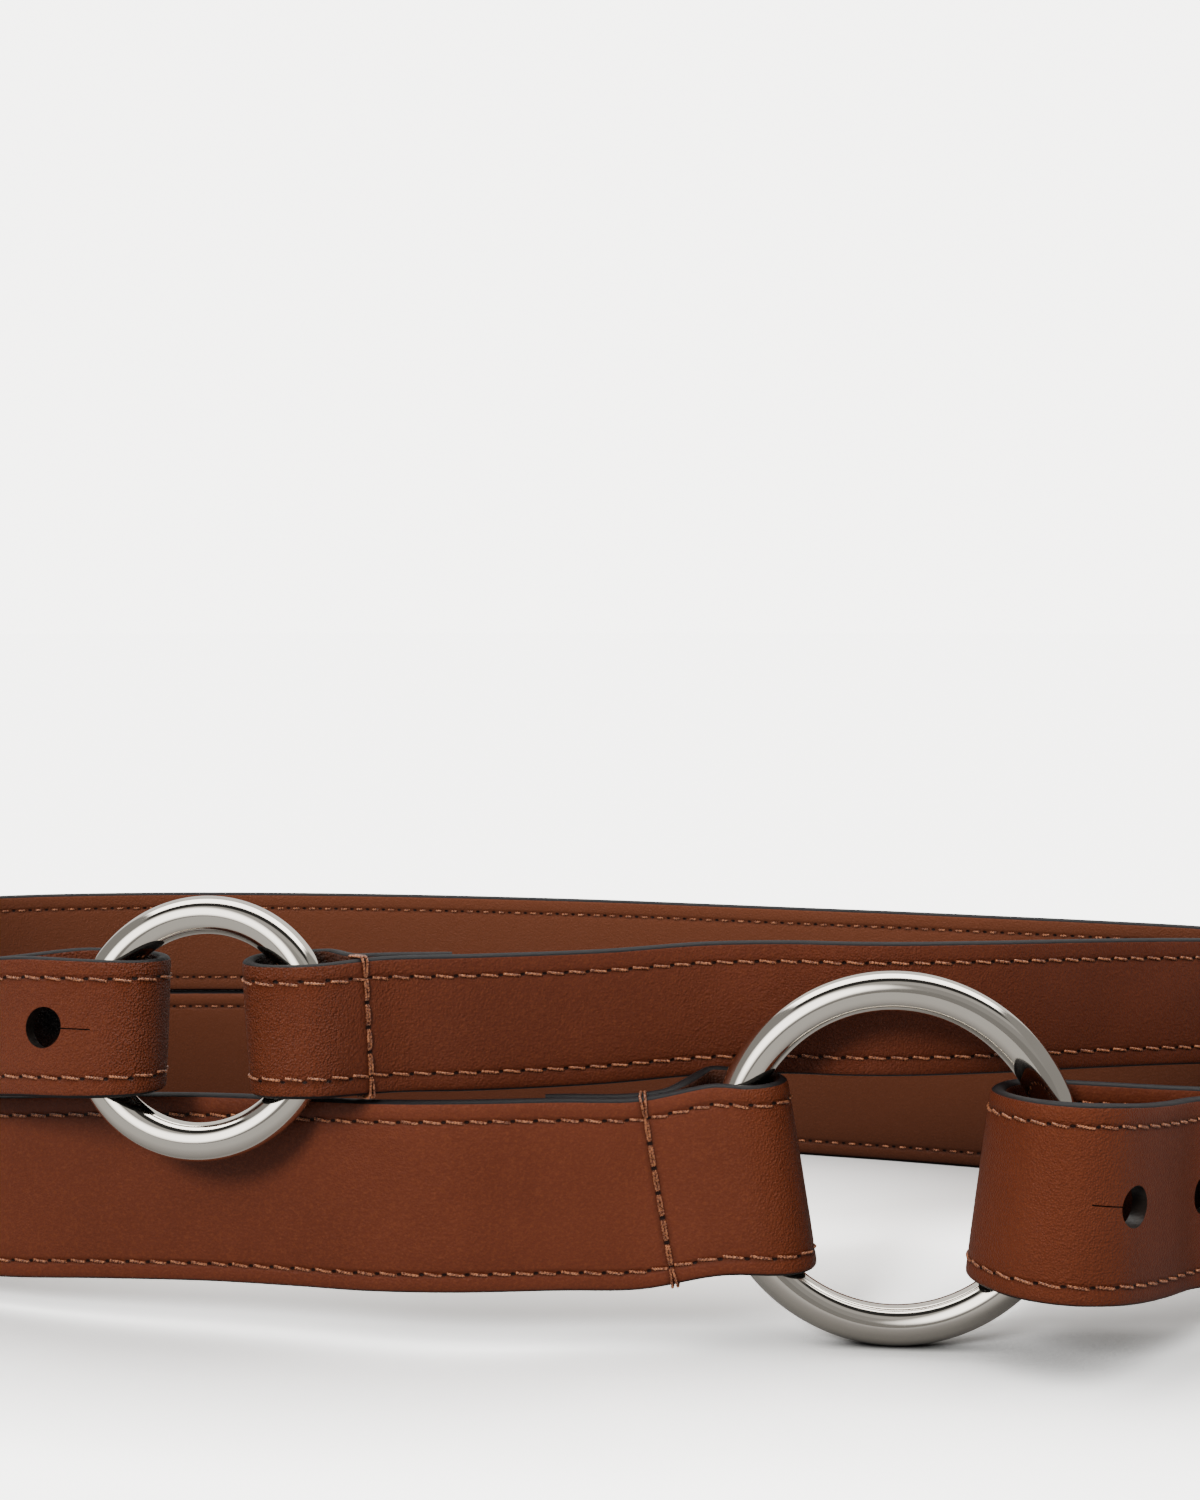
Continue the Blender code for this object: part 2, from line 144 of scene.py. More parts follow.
NARROW_FRONT = [
    (-0.104, 0.025, 1.00),
    (-0.060, 0.044, 0.97),
    (0.000, 0.074, 0.96),
    (0.055, 0.101, 1.02),
    (0.096, 0.102, 1.04),
    (0.126, 0.090, 1.05),
    (0.155, 0.091, 1.04),
    (0.205, 0.117, 0.99),
    (0.265, 0.176, 0.86),
    (0.322, 0.230, 0.72),
    (0.377, 0.290, 0.52),
    (0.418, 0.370, 0.31),
    (0.430, 0.455, 0.14),
    (0.410, 0.533, 0.03),
]
NARROW_LEFT = [
    (-0.383, 0.172, 0.46),
    (-0.347, 0.118, 0.58),
    (-0.312, 0.082, 0.78),
    (-0.285, 0.063, 0.93),
]

# Rows of the two adjustable loops from the back layer round to the tail, as shares of the ring's
# outer radius from the ring's middle; lift as above, lean is how far the row's top stands to the right.
WIDE_LOOP = [
    # across,  deep,  lift,  lean
    (0.960, 0.190, 1.10, 0.050),
    (0.715, 0.165, 1.17, 0.100),
    (0.545, 0.030, 1.23, 0.130),
    (0.462, -0.190, 1.28, 0.130),
    (0.500, -0.430, 1.32, 0.115),
    (0.625, -0.650, 1.36, 0.085),
    (0.810, -0.757, 1.37, 0.040),
    (1.015, -0.722, 1.33, 0.000),
    (1.190, -0.565, 1.22, 0.000),
    (1.370, -0.345, 1.10, 0.000),
    (1.595, -0.055, 0.97, 0.000),
]
NARROW_TAIL = [
    (-1.360, -0.050, 0.99, 0.000),
    (-1.620, 0.110, 0.90, 0.000),
]

# Straps: rounded edges, rounded ends, and how finely the section is swept, metres and degrees
edge_depth = 0.0010
edge_close = 0.00026
edge_steps = 7
# The upper edges' paint reaches further over the face than the lower edges': that wider dark band is partly
# edge paint and partly painted shade
upper_paint_and_shade = 66.0
lower_paint = 57.0
paint_blend = 14.0
end_paint = 0.0012
start_round = (0.0003, 0.0012)
end_round = (0.0006, 0.0016)
least_round = 0.35
tip_stations = (1.0, 0.9, 0.8, 0.7, 0.6, 0.5, 0.4, 0.3, 0.22, 0.15, 0.09, 0.045, 0.015)
most_turn = 3.0
longest_step = 0.0016
full_bend = 130.0
smooth_limit = 38.0

# How much each strap draws in at its sewn fold and at its tail's fold: share of width, reach along
fold_before_front = 0.004
wide_draws = ((0.022, 0.014), (0.018, 0.014))
narrow_draws = ((0.055, 0.016), (0.045, 0.018))

# Slits of the visual straps: longer and finer than the solids' slits
slit_longer = 0.0010
slit_fine = 0.00024
slit_deeper = 0.0008
slit_past_hole = 0.0002

# Thread, metres
stitch_inset = 0.0036
stitch_pitch = 0.0041
stitch_long = 0.0033
stitch_rise = 0.00022
stitch_slant = 0.00048
stitch_from = 0.0030
small_long = 0.0017
small_rise = 0.00012
small_detail = {"points": 7, "sides": 5}
show_detail = {"points": 15, "sides": 6}
plies = 2
ply_size = 0.00030
ply_turn = 0.00100
ply_overlap = 1.08
seam_pitch = 0.0043
seam_spread = 0.00026
seam_rise = 0.00055
seam_sink = 0.0003
seam_ply = 0.00013
seam_sides = 7
seam_overlap = 1.10
wide_seam = (0.0141, 0.165)
narrow_seam = (0.0081, -0.060)
turn_clear = 0.004

# What lies behind the tail's free holes, where the band gets a painted shadow: band to look on, and how far
# behind
behind_until = 0.006
behind_step = 0.004

# Leather: colours, pebble strength and tone of each strap
leather_dark = (0.115, 0.0264, 0.0115, 1.0)
leather_light = (0.137, 0.0322, 0.0144, 1.0)
# Lighter flecks: partly the leather's fine mottling, partly painted glints of the pebble grain
leather_fleck_glint = (0.205, 0.054, 0.020, 1.0)
# Painted highlight: a lighter, redder colour where the strap bends round its folds
leather_bend_highlight = (0.150, 0.031, 0.008, 1.0)
leather_shade = (0.060, 0.014, 0.005, 1.0)
lining_colour = (0.158, 0.047, 0.0215, 1.0)
# Painted shade colour for the needle holes and for the band behind the tail's free holes
hole_shadow = (0.006, 0.002, 0.0015, 1.0)
edge_colour = (0.012, 0.011, 0.012, 1.0)
burnish_dark = (0.006, 0.005, 0.0045, 1.0)
burnish_light = (0.022, 0.016, 0.013, 1.0)
wide_skin = (1.5, 1.0)
narrow_skin = (2.4, 0.88)
outer_shade = 0.35
inner_shade = 1.45
shade_reach = 0.09

# Thread, metal and floor colours
thread_dark = (0.108, 0.029, 0.011, 1.0)
# Painted glint colour of the thread, mixed in by fine noise
thread_glint = (0.500, 0.188, 0.084, 1.0)
nickel_dark = (0.72, 0.67, 0.595, 1.0)
nickel_light = (0.79, 0.74, 0.665, 1.0)
floor_dark = (0.865, 0.862, 0.852, 1.0)
floor_light = (0.875, 0.872, 0.862, 1.0)

# Floor and lamps: shares of light that the camera, the metal and the leather get from the floor
floor_radius = 9.0
floor_gain = 5.0
floor_bounce = 0.50
floor_mirror = 0.54
floor_shade = 2.1
floor_reach = 0.07
backdrop_light = 5.8
backdrop_colour = (1.0, 0.985, 0.955, 1.0)
ambient_light = 0.40
top_light = 0.62
lamps = [
    # name, power, width in degrees, turn in degrees
    ("key", 3.00, 16.0, (60.0, 0.0, -30.0)),
    ("side", 0.14, 50.0, (66.0, 0.0, 62.0)),
]

# What polished metal mirrors, by angle from the front over the top to the back, degrees
wall_shine = 0.35
panel_blend = 3.0
panel_table = [
    # start, stop, brightness
    (-8.0, 24.0, 0.26),
    (44.0, 62.0, 0.50),
    (62.0, 84.0, 0.03),
    (84.0, 122.0, 5.50),
    (122.0, 179.0, 1.00),
]
left_flank = (0.55, 0.62, 0.30)
right_flank = (0.62, 0.70, 0.32)
soft_box = (-0.420, -0.787, 0.454)
soft_box_edge = (0.890, 0.985)
soft_box_shine = 4.4

# Camera, fitted to the photo: focal length in pixels of its 1500 px height, place and dip
camera_focal = 2310.0
picture_height = 1500.0
sensor_height = 36.0
camera_back = 0.409
camera_rise = 0.1351
camera_dip = 3.72

# Fineness of the turned metal
ring_segments = (224, 56)
stud_steps = 64


def plan(rows, foot):
    """Rows of x, y, foot height, lean in x and lean in y."""
    return [(a * belt_span, d * belt_depth, foot + k * front_lift, 0.0, 0.0) for a, d, k in rows]


class Ring:
    """A ring's middle, outer radius, tube, lean and turn."""

    def __init__(self, place, z, outer, tube, lean, turn):
        self.x, self.y, self.z = place[0] * belt_span, place[1] * belt_depth, z
        self.radius, self.tube, self.lean, self.turn = outer / 2, tube, lean, turn


def about_ring(rows, ring, foot, lean_y):
    """Rows given in shares of a ring's outer radius, moved to the ring."""
    out = []
    for across, deep, lift, lean in rows:
        x = ring.x + across * ring.radius
        y = ring.y + deep * ring.radius
        out.append((x, y, foot + lift * front_lift, lean * ring.radius, lean_y))
    return out


def reach(ring, level, share, thick):
    """How far from the ring's middle a fold's middle may stand at one height."""
    inner = ring.radius - ring.tube
    rise = (level - ring.z) / math.cos(ring.lean)
    free = math.sqrt(max(inner * inner - rise * rise, 0.0)) - ring_gap - thick / 2
    return min(share * inner, free)


def fold(ring, foot, width, thick, side, shares, lean_y):
    """Rows of a tight fold round a ring's tube; side is -1 left of the ring's middle and +1 right."""
    low = side * reach(ring, foot, shares[0], thick)
    high = side * reach(ring, foot + width, shares[1], thick)
    half = ring.tube / 2 + ring_gap + thick / 2 + loop_slack
    out = []
    past_tube = ring.x + side * (ring.radius - ring.tube / 4)
    # A turned ring's side stands behind its middle
    mid_y = ring.y - side * math.sin(ring.turn) * (ring.radius - ring.tube / 2)
    out.append((past_tube, mid_y + half, foot, (high - low) * 0.3, lean_y))
    for degrees in (90, 60, 30, 0, -30, -60, -90):
        turn = math.radians(degrees)
        x = ring.x + (low + high) / 2 + side * half * (1 - math.cos(turn))
        out.append((x, mid_y + half * math.sin(turn), foot, high - low, lean_y))
    out.append((past_tube, mid_y - half, foot, (high - low) * 0.3, lean_y))
    return out


def smooth(rows):
    """Close samples of a centripetal curve through control rows."""
    p = np.array(rows, float)
    p = np.vstack([2 * p[0] - p[1], p, 2 * p[-1] - p[-2]])
    out = []
    for i in range(1, len(p) - 2):
        q = p[i - 1:i + 3]
        t = [0.0]
        for k in range(3):
            t.append(t[-1] + max(np.linalg.norm(q[k + 1][:3] - q[k][:3]), 1e-6) ** 0.5)
        count = max(2, int(np.linalg.norm(q[2][:2] - q[1][:2]) / curve_step))
        for u in np.linspace(t[1], t[2], count, endpoint=False):
            row = q
            for spans in (((0, 1), (1, 2), (2, 3)), ((0, 2), (1, 3)), ((1, 2),)):
                row = [a + (b - a) * (u - t[i]) / (t[k] - t[i]) for (i, k), a, b in zip(spans, row, row[1:])]
            out.append(row[0])
    out.append(p[-2])
    return np.array(out)


def eased(rows):
    """The same curve with its leans changing gradually along it."""
    out = rows.copy()
    spacing = lengths(rows)[-1] / len(rows)
    for k, over in ((3, ease_across), (4, ease_deep)):
        count = int(over / spacing)
        weight = np.ones(count) / count
        padded = np.pad(out[:, k], count, mode="edge")
        padded = np.convolve(padded, weight, mode="same")
        out[:, k] = padded[count:-count]
    return out


def unit(vectors):
    """The same vectors, each one long."""
    return vectors / np.maximum(np.linalg.norm(vectors, axis=-1), 1e-12)[..., None]


def run_along(points):
    """Distances along a line of points, one for each point."""
    return np.r_[0.0, np.cumsum(np.linalg.norm(np.diff(points, axis=0), axis=1))]


def normals(rows):
    """Plan normals on the right hand of a curve's direction."""
    along = unit(np.gradient(rows[:, :2], axis=0))
    return np.stack([along[:, 1], -along[:, 0]], axis=1)


def beside(rows, distance):
    """The same curve moved sideways, distance counted to the right of its direction."""
    out = rows.copy()
    out[:, :2] += normals(rows) * distance
    return out


def lengths(rows):
    """Distances along a curve in plan, one for each row."""
    return run_along(rows[:, :2])


def at(rows, distance):
    """One row of a curve at a distance from its start."""
    run = lengths(rows)
    return np.array([np.interp(distance, run, rows[:, k]) for k in range(rows.shape[1])])


def edges_of(row, width):
    """Lower and upper edge points of one row."""
    x, y, foot, lean_x, lean_y = row
    tall = math.sqrt(width * width - lean_x * lean_x - lean_y * lean_y)
    low = Vector((x - lean_x / 2, y - lean_y / 2, foot))
    high = Vector((x + lean_x / 2, y + lean_y / 2, foot + tall))
    return low, high


def tip_share(left):
    """Width share of a rounded tip at a distance before its end."""
    if left >= tip_length:
        return 1.0
    u = 1.0 - left / tip_length
    return max(0.34, math.sqrt(max(1.0 - u * u, 0.0)))


def sewn_loop(ring, base, lift, width, thick, side, shares, front, seam, lap):
    """Rows from a sewn loop's inner end, round the ring, to the start of the front layer."""
    lean_y = math.sin(ring.lean) * width
    round_tube = fold(ring, base + lift * front_lift, width, thick, side, shares, lean_y)
    back_x, back_y, foot = round_tube[0][:3]
    line = smooth([round_tube[-1]] + front)
    behind = beside(line, -side * (thick + layer_gap))
    rows = [tuple(at(behind, seam + share * lap)) for share in (1.0, 0.8, 0.6, 0.4, 0.2, 0.0)]
    x, y, low, lean_x, lean_start = rows[-1]
    rows[-1] = (x, y + layer_gap / 2, low, lean_x, lean_start)
    for share, rise in ((0.25, 0.20), (0.50, 0.52), (0.75, 0.84)):
        lean_here = lean_start + (lean_y - lean_start) * share
        place = (x + (back_x - x) * share, y + (back_y - y) * rise, low + (foot - low) * share)
        rows.append((*place, lean_x, lean_here))
    return rows + round_tube


def with_tail(rows, loop, guide, out_side, thick, join_x, base, hole_first):
    """The strap's whole curve and where its tail starts; guide is the layer that the tail lies on."""
    lead = smooth(rows + loop)
    first = lengths(smooth(rows + loop[:1]))[-1]
    run = lengths(lead)
    bend = lead[run > first]
    turn_at = first + lengths(bend)[int(np.argmax(-out_side * bend[:, 0]))]
    length = hole_first + (hole_count - 1) * hole_pitch + tail_past_hole
    outer = beside(smooth(guide), out_side * (thick + layer_gap))
    past = out_side * outer[:, 0] > join_x
    outer = outer[int(np.argmax(past)):]
    picks = [tuple(at(outer, d)) for d in np.arange(0.0, lengths(outer)[-1], guide_step)]
    whole = smooth(rows + loop + picks)
    whole[:, 2] = np.maximum(whole[:, 2], base)
    whole = eased(whole)
    run = lengths(whole)
    end = turn_at + length
    kept = whole[run < end]
    return np.vstack([kept, at(whole, end)]), turn_at


class Course:
    """A strap's middle line with its up and outward directions, read by distance along it."""

    def __init__(self, rows, width, thick, side):
        self.width, self.thick, self.side = width, thick, side
        low, high = np.array([edges_of(row, width) for row in rows]).transpose(1, 0, 2)
        self.middle = (low + high) / 2
        self.along = unit(np.gradient(self.middle, axis=0))
        self.up = unit(high - low)
        self.out = unit(np.cross(self.along, self.up) * side)
        self.run = run_along(self.middle)
        self.angle = np.unwrap(np.arctan2(self.along[:, 1], self.along[:, 0]))
        bend = np.abs(np.gradient(self.angle) / np.maximum(np.gradient(self.run), 1e-9))
        self.bend = np.convolve(bend, np.ones(15) / 15, mode="same")
        self.length = self.run[-1]

    def read(self, field, s):
        """One of the fields at distances along the strap."""
        values = getattr(self, field)
        if values.ndim == 1:
            return np.interp(s, self.run, values)
        return np.stack([np.interp(s, self.run, values[:, k]) for k in range(3)], axis=-1)

    def spot(self, s, across, proud):
        """Points on the strap: distance along, height from the middle, distance out of the middle plane."""
        across = np.asarray(across)[..., None]
        proud = np.asarray(proud)[..., None]
        return self.read("middle", s) + self.read("up", s) * across + self.read("out", s) * proud

    def hole(self, k):
        """Distance along the strap of a tail hole, counted from 0."""
        return self.turn + self.first + k * hole_pitch

    def taper(self, s):
        """Width share along the strap: it draws in a little where it folds round its ring."""
        share = np.ones_like(s)
        for centre, amount, over in self.draws:
            share -= amount * np.exp(-((s - centre) / over) ** 2)
        return share

    def stations(self):
        """Distances at which the section is set: closer together where the strap turns."""
        turn_limit = math.radians(most_turn)
        kept = [0]
        for i in range(1, len(self.run) - 1):
            turned_enough = abs(self.angle[i] - self.angle[kept[-1]]) > turn_limit
            if turned_enough or self.run[i] - self.run[kept[-1]] > longest_step:
                kept.append(i)
        kept.append(len(self.run) - 1)
        return [self.run[i] for i in kept]


def strap_courses():
    """Both straps' courses, their rings and where their tails turn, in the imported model's frame."""
    large_height = (large_ring_outer - large_ring_tube) / 2 * math.cos(large_lean) + large_ring_tube / 2
    large = Ring(large_ring_place, large_height, large_ring_outer, large_ring_tube, large_lean, large_turn)
    stacked = wide_width + touch_gap
    small_height = stacked + narrow_loop_lift * front_lift + small_ring_rise * narrow_width
    small = Ring(small_ring_place, small_height, small_ring_outer, small_ring_tube, small_lean, small_turn)
    front = plan(WIDE_FRONT, 0.0)[::-1]
    back = plan(BACK, 0.0)
    right = plan(WIDE_RIGHT, 0.0)
    sewn = sewn_loop(large, 0.0, wide_loop_lift, wide_width, wide_thick, -1, wide_fold, front,
                     seam_wide, lap_wide)
    loop = about_ring(WIDE_LOOP, large, 0.0, 0.0)
    rows = sewn + front + back[::-1] + right[::-1]
    wide, wide_turn = with_tail(rows, loop, right + back[:4], 1, wide_thick, wide_join * belt_span, 0.0,
                                wide_hole_first)
    wide_marks = sewn_marks(sewn, rows, loop)
    front = plan(NARROW_FRONT, stacked)
    back = plan(BACK, stacked)
    left = plan(NARROW_LEFT, stacked)
    lean_y = math.sin(small_lean) * narrow_width
    sewn = sewn_loop(small, stacked, narrow_loop_lift, narrow_width, narrow_thick, 1, narrow_fold, front,
                     seam_narrow, lap_narrow)
    small_foot = stacked + narrow_loop_lift * front_lift
    tight = fold(small, small_foot, narrow_width, narrow_thick, -1, tail_fold, lean_y)
    loop = tight + about_ring(NARROW_TAIL, small, stacked, lean_y * 0.5)
    rows = sewn + front + back + left
    guide = left[::-1] + back[::-1][:8]
    narrow, narrow_turn = with_tail(rows, loop, guide, -1, narrow_thick, narrow_join * belt_span,
                                    stacked, narrow_hole_first)
    narrow_marks = sewn_marks(sewn, rows, loop)
    low, high = (Vector(corner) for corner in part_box("small_ring"))
    shift = (low + high) / 2 - Vector((small.x, small.y, small.z))
    for curve, ring in ((wide, large), (narrow, small)):
        curve[:, :2] += shift[:2]
        ring.x += shift.x
        ring.y += shift.y
    wide_course = Course(wide, wide_width, wide_thick, -1)
    narrow_course = Course(narrow, narrow_width, narrow_thick, 1)
    for course, marks, turn, first, draws, seam in (
        (wide_course, wide_marks, wide_turn, wide_hole_first, wide_draws, wide_seam),
        (narrow_course, narrow_marks, narrow_turn, narrow_hole_first, narrow_draws, narrow_seam),
    ):
        course.front, course.loop = marks
        course.turn, course.first = turn, first
        course.draws = [(course.front - fold_before_front, *draws[0]), (turn, *draws[1])]
        course.seam, course.seam_slope = seam
        course.facing = facing_marks(course)
    return wide_course, narrow_course, large, small, shift


def facing_marks(course):
    """Distances along the band that lie behind the tail's free holes, where a painted shadow goes."""
    band = course.run < course.turn - behind_until
    marks = []
    for k in range(hole_count):
        if k + 1 != stud_hole:
            s = course.hole(k)
            spot = course.spot(s, 0.0, 0.0)[:2] + course.read("out", s)[:2] * behind_step
            far = np.linalg.norm(course.middle[:, :2] - spot, axis=1)
            marks.append(float(course.run[np.argmin(np.where(band, far, np.inf))]))
    return marks


def sewn_marks(sewn, rows, loop):
    """Distances along the strap: start of the front layer, start of the free loop."""
    return lengths(smooth(sewn))[-1], lengths(smooth(rows + loop[:1]))[-1]


def section(width, thick):
    """One strap section as rows of across, proud, paint and face (+1 outer, -1 inner)."""
    half, deep = width / 2, thick / 2
    flat = deep * 0.97
    inset = half - stitch_inset
    face = [
        # across, proud in half thicknesses: from the edge over the stitch channel to the middle
        (half - edge_depth * 1.2, 1.00),
        (half - edge_depth * 1.7, 1.02),
        (inset + 0.0012, 1.02),
        (inset + 0.0005, 0.97),
        (inset, 0.93),
        (inset - 0.0005, 0.97),
        (inset - 0.0014, 1.03),
        (half * 0.55, 1.05),
        (half * 0.20, 1.06),
    ]
    edges = []
    # The upper edges' wider reach is partly painted shade
    for reach_of_paint in (lower_paint, upper_paint_and_shade):
        rows = []
        for k in range(-edge_steps, edge_steps + 1):
            turn = math.pi / 2 * k / edge_steps
            paint = (reach_of_paint - abs(math.degrees(turn))) / paint_blend + 0.5
            across = half - edge_depth * (1 - math.cos(turn))
            rows.append((across, flat * math.sin(turn), min(1.0, max(0.0, paint)), math.sin(turn)))
        edges.append(rows)
    low_edge = [(-a, w, p, f) for a, w, p, f in edges[0]]
    outer = [(-a, deep * w, 0.0, 1.0) for a, w in face] + [(a, deep * w, 0.0, 1.0) for a, w in face[::-1]]
    inner = [(a, -w, p, -1.0) for a, w, p, f in outer[::-1]]
    upper = [(a + (edge_close if a > half - edge_depth else 0.0), w, p, f) for a, w, p, f in edges[1][::-1]]
    return low_edge + outer + upper + inner


def uv_layer(data, name, per_vertex):
    """Two numbers for each vertex, kept on the corners so that cuts carry them."""
    layer = data.uv_layers.new(name=name)
    index = np.empty(len(data.loops), dtype=np.int32)
    data.loops.foreach_get("vertex_index", index)
    layer.uv.foreach_set("vector", np.asarray(per_vertex, dtype=np.float32)[index].ravel())


def linked(name, data):
    """An object for the data, in the scene."""
    item = bpy.data.objects.new(name, data)
    bpy.context.scene.collection.objects.link(item)
    return item


def outward(data):
    """Faces turned outward and shaded smooth."""
    mesh = bmesh.new()
    mesh.from_mesh(data)
    bmesh.ops.recalc_face_normals(mesh, faces=mesh.faces)
    for face in mesh.faces:
        face.smooth = True
    mesh.to_mesh(data)
    mesh.free()


def smooth_faces(data):
    """Smooth shading with sharp edges where faces meet steeply."""
    mesh = bmesh.new()
    mesh.from_mesh(data)
    limit = math.radians(smooth_limit)
    for face in mesh.faces:
        face.smooth = True
    for edge in mesh.edges:
        edge.smooth = not (len(edge.link_faces) == 2 and edge.calc_face_angle(0.0) > limit)
    mesh.to_mesh(data)
    mesh.free()


def swept(name, course):
    """The strap's section swept along its course, with its run, edge and bend kept on the corners."""
    prof = np.array(section(course.width, course.thick))
    end = course.length
    fine = [end - tip_length * k for k in tip_stations]
    stations = [s for s in course.stations() if s < fine[0] - 0.001]
    stations = np.array(stations + fine + [end])
    narrow = np.array([tip_share(end - s) for s in stations])
    from_start = (stations + start_round[0]) / start_round[1]
    from_end = (end - stations + end_round[0]) / end_round[1]
    near_end = np.clip(np.minimum(from_start, from_end), 0.0, 1.0)
    rounding = np.maximum(least_round, np.sqrt(1 - (1 - near_end) ** 2))
    narrow = narrow * course.taper(stations)
    across = prof[None, :, 0] * narrow[:, None]
    proud = prof[None, :, 1] * rounding[:, None]
    where = np.repeat(stations[:, None], len(prof), axis=1)
    verts = course.spot(where, across, proud).reshape(-1, 3)
    end_share = np.clip(np.minimum(stations, end - stations) / end_paint, 0, 1)
    paint = np.maximum(prof[None, :, 2], 1.0 - end_share[:, None])
    bend = np.clip(course.read("bend", stations) / full_bend, 0.0, 1.0)
    face = np.repeat(prof[None, :, 3], len(stations), axis=0)
    count = len(prof)
    faces = []
    for j in range(len(stations) - 1):
        for k in range(count):
            a, b = j * count + k, j * count + (k + 1) % count
            faces.append((a, b, b + count, a + count))
    last = (len(stations) - 1) * count
    faces.append(tuple(range(count - 1, -1, -1)))
    faces.append(tuple(range(last, last + count)))
    data = bpy.data.meshes.new(name)
    data.from_pydata(verts.tolist(), [], faces)
    uv_layer(data, "run", np.stack([where.ravel(), across.ravel()], axis=1))
    uv_layer(data, "edge", np.stack([paint.ravel(), face.ravel()], axis=1))
    uv_layer(data, "bend", np.stack([np.repeat(bend, count), np.zeros(len(verts))], axis=1))
    outward(data)
    return data


def strap_piece(name, course, paints):
    """The swept strap with rounded painted edges, stitch channels and punched holes."""
    data = swept(name, course)
    piece = linked(name, data)
    for paint_slot in paints:
        data.materials.append(paint_slot)
    holder = bpy.data.collections.new(name + "_cuts")
    bpy.context.scene.collection.children.link(holder)
    cutters = hole_cutters(course, paints)
    for item in cutters:
        holder.objects.link(item)
    cut = piece.modifiers.new("holes", "BOOLEAN")
    cut.operation = "DIFFERENCE"
    cut.solver = "EXACT"
    cut.operand_type = "COLLECTION"
    cut.collection = holder
    bpy.context.view_layer.update()
    graph = bpy.context.evaluated_depsgraph_get()
    done = bpy.data.meshes.new_from_object(piece.evaluated_get(graph))
    piece.modifiers.clear()
    piece.data = done
    for item in cutters:
        bpy.data.objects.remove(item, do_unlink=True)
    bpy.data.collections.remove(holder)
    smooth_faces(done)
    return piece


def turned(data, spot, axis_x, axis_z):
    """Mesh data turned so that its own X and Z point along the given directions, and moved to a spot."""
    axis_x = Vector(axis_x).normalized()
    axis_z = Vector(axis_z).normalized()
    axis_y = axis_z.cross(axis_x).normalized()
    turn = Matrix((axis_x, axis_y, axis_z)).transposed().to_4x4()
    data.transform(Matrix.Translation(Vector(spot)) @ turn)
    data.update()
    return data


def hole_cutters(course, paints):
    """Round punches, each with a narrow slit toward the ring."""
    items = []
    for k in range(hole_count):
        s = course.hole(k)
        spot, out, along = course.spot(s, 0, 0), course.read("out", s), course.read("along", s)
        deep = course.thick * 3 if k == 0 else course.thick + 1.6 * layer_gap
        radius = hole_size / 2
        punch = bmesh.new()
        bmesh.ops.create_cone(punch, cap_ends=True, segments=56, radius1=radius, radius2=radius, depth=deep)
        slit = bmesh.new()
        bmesh.ops.create_cube(slit, size=1.0)
        slit_size = (slit_length + slit_longer, slit_fine, course.thick + slit_deeper)
        bmesh.ops.scale(slit, vec=slit_size, verts=slit.verts)
        bmesh.ops.translate(slit, vec=(radius + slit_length / 2 + slit_past_hole, 0, 0), verts=slit.verts)
        for label, mesh in (("punch", punch), ("slit", slit)):
            data = bpy.data.meshes.new(label)
            mesh.to_mesh(data)
            mesh.free()
            for paint_slot in paints:
                data.materials.append(paint_slot)
            for face in data.polygons:
                face.material_index = 1
            items.append(bpy.data.objects.new(label, turned(data, spot, -along, out)))
    return items


def tube_mesh(paths, radius, sides):
    """Vertices and faces of closed-ended tubes; paths is an array of strands, points, three."""
    strands, count, _ = paths.shape
    along = unit(np.gradient(paths, axis=1))
    guess = np.cross(along, np.array([0.0, 0.0, 1.0]))
    weak = np.linalg.norm(guess, axis=2) < 0.2
    guess[weak] = np.cross(along[weak], np.array([0.0, 1.0, 0.0]))
    first = unit(guess)
    second = np.cross(along, first)
    taper = np.ones(count)
    taper[0] = taper[-1] = 0.25
    verts = []
    for k in range(sides):
        turn = math.tau * k / sides
        ring = paths + (first * math.cos(turn) + second * math.sin(turn)) * radius * taper[None, :, None]
        verts.append(ring)
    verts = np.stack(verts, axis=2).reshape(-1, 3)
    faces = []
    for n in range(strands):
        base = n * count * sides
        for j in range(count - 1):
            for k in range(sides):
                a = base + j * sides + k
                b = base + j * sides + (k + 1) % sides
                faces.append((a, a + sides, b + sides, b))
        faces.append(tuple(base + k for k in range(sides)))
        faces.append(tuple(base + (count - 1) * sides + k for k in range(sides - 1, -1, -1)))
    return verts, faces


def straight_row(course, start, stop, level):
    """Stitch centres and directions along one edge; level is -1 for the lower row and +1 for the upper."""
    first = math.ceil((start - stitch_from) / stitch_pitch)
    last = int((stop - stitch_from) / stitch_pitch)
    s = stitch_from + (np.arange(first, last) + 0.5) * stitch_pitch
    a = np.full(len(s), level * (course.width / 2 - stitch_inset))
    return s, a, np.ones(len(s)), np.zeros(len(s))


def tip_row(course, start):
    """Stitch centres and directions round the rounded tip."""
    half = course.width / 2 - stitch_inset
    turns = np.linspace(-math.pi / 2, math.pi / 2, 200)
    centre = course.length - tip_length
    reach_s = centre + np.cos(turns) * (tip_length - stitch_inset)
    reach_a = np.sin(turns) * half
    reach_s = np.r_[start, reach_s, start]
    reach_a = np.r_[-half, reach_a, half]
    run = run_along(np.stack([reach_s, reach_a], axis=1))
    count = round(run[-1] / stitch_pitch)
    marks = (np.arange(count) + 0.5) * run[-1] / count
    s, a = np.interp(marks, run, reach_s), np.interp(marks, run, reach_a)
    ds = np.interp(marks + 0.0002, run, reach_s) - s
    da = np.interp(marks + 0.0002, run, reach_a) - a
    size = np.hypot(ds, da)
    return s, a, ds / size, da / size


